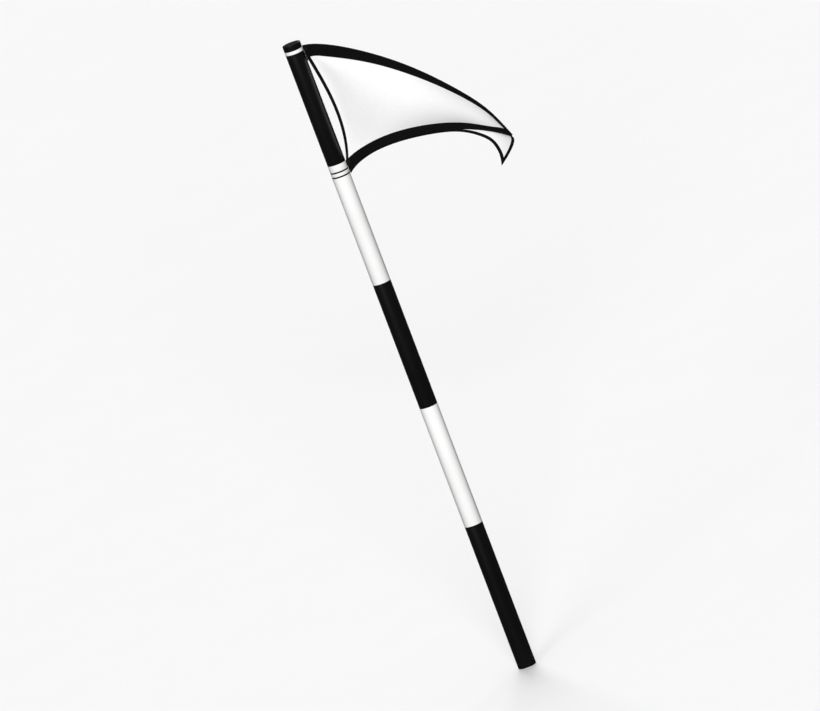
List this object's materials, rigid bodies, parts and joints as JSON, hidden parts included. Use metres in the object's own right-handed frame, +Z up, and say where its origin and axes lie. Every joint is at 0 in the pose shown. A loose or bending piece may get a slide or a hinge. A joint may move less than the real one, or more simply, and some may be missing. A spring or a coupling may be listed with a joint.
{
  "type": "golf flagstick",
  "caption": "Straight striped golf flagstick in screwed sections, with a curved bordered flag on a swivelling tube and a screwed top cap.",
  "frame": {"origin": "middle of the foot's flat bottom face", "axes": "+Z up along the pole, +X from the pole towards the flag's free end, -Y the side of the flag that is seen"},
  "size_m": [0.4961, 0.1091, 1.8288],
  "materials": {
    "black_gelcoat": "glossy black gelcoat on glass fibre",
    "white_gelcoat": "glossy white gelcoat on glass fibre",
    "black_rubber": "matt black rubber",
    "black_nylon": "moulded black nylon",
    "black_oxide": "black coated steel",
    "aluminium": "turned aluminium",
    "brass": "turned brass",
    "natural_nylon": "natural nylon",
    "flag_cloth": "white woven nylon",
    "black_cloth": "black woven nylon border and binding"
  },
  "bodies": {
    "base_section": {"base_foot": "black_rubber", "base_tube": "black_gelcoat", "base_socket": "aluminium"},
    "washer_1": {"joint_washer_1": "black_rubber"},
    "lower_white_section": {"lower_white_tube": "white_gelcoat", "lower_white_stud": "aluminium", "lower_white_socket": "aluminium"},
    "washer_2": {"joint_washer_2": "black_rubber"},
    "middle_black_section": {"middle_black_tube": "black_gelcoat", "middle_black_stud": "aluminium", "middle_black_socket": "aluminium"},
    "washer_3": {"joint_washer_3": "black_rubber"},
    "upper_white_section": {"upper_white_tube": "white_gelcoat", "upper_white_stud": "aluminium", "upper_white_socket": "aluminium"},
    "washer_4": {"joint_washer_4": "black_rubber"},
    "head": {"head_stud": "aluminium", "head_flange": "white_gelcoat", "thrust_washer": "black_nylon", "spindle": "aluminium", "cap_stud": "brass"},
    "flag_swivel": {"lower_flag_collar": "white_gelcoat", "flag_tube": "black_gelcoat", "upper_flag_ring": "white_gelcoat", "lower_bush": "natural_nylon", "upper_bush": "natural_nylon", "flag": "flag_cloth", "upper_corner_plate": "black_nylon", "lower_corner_plate": "black_nylon", "upper_rivet": "black_oxide", "lower_rivet": "black_oxide"},
    "cap_seal": {"cap_washer": "black_rubber"},
    "cap": {"top_cap": "black_gelcoat", "cap_insert": "brass"}
  },
  "joints": [
    {"name": "lower_white_lift", "type": "slide", "parent": "base_section", "child": "washer_1", "axis": [0, 0, 1], "range_m": [0, 0.0255]},
    {"name": "lower_white_screw", "type": "hinge", "parent": "washer_1", "child": "lower_white_section", "pos_m": [0, 0, 0.4183], "axis": [0, 0, 1], "range_deg": [0, 1800]},
    {"name": "middle_black_lift", "type": "slide", "parent": "lower_white_section", "child": "washer_2", "axis": [0, 0, 1], "range_m": [0, 0.0255]},
    {"name": "middle_black_screw", "type": "hinge", "parent": "washer_2", "child": "middle_black_section", "pos_m": [0, 0, 0.7703], "axis": [0, 0, 1], "range_deg": [0, 1800]},
    {"name": "upper_white_lift", "type": "slide", "parent": "middle_black_section", "child": "washer_3", "axis": [0, 0, 1], "range_m": [0, 0.0255]},
    {"name": "upper_white_screw", "type": "hinge", "parent": "washer_3", "child": "upper_white_section", "pos_m": [0, 0, 1.1295], "axis": [0, 0, 1], "range_deg": [0, 1800]},
    {"name": "head_lift", "type": "slide", "parent": "upper_white_section", "child": "washer_4", "axis": [0, 0, 1], "range_m": [0, 0.0255]},
    {"name": "head_screw", "type": "hinge", "parent": "washer_4", "child": "head", "pos_m": [0, 0, 1.4458], "axis": [0, 0, 1], "range_deg": [0, 1800]},
    {"name": "flag_turn", "type": "hinge", "parent": "head", "child": "flag_swivel", "pos_m": [0, 0, 1.459], "axis": [0, 0, 1], "continuous": true},
    {"name": "cap_lift", "type": "slide", "parent": "head", "child": "cap_seal", "axis": [0, 0, 1], "range_m": [0, 0.0091]},
    {"name": "cap_screw", "type": "hinge", "parent": "cap_seal", "child": "cap", "pos_m": [0, 0, 1.8136], "axis": [0, 0, 1], "range_deg": [0, 1080]}
  ],
  "couplings": [
    {"joint": "lower_white_lift", "follows": "lower_white_screw", "m_per_rad": 0.00080851},
    {"joint": "middle_black_lift", "follows": "middle_black_screw", "m_per_rad": 0.00080851},
    {"joint": "upper_white_lift", "follows": "upper_white_screw", "m_per_rad": 0.00080851},
    {"joint": "head_lift", "follows": "head_screw", "m_per_rad": 0.00080851},
    {"joint": "cap_lift", "follows": "cap_screw", "m_per_rad": 0.00047746}
  ]
}
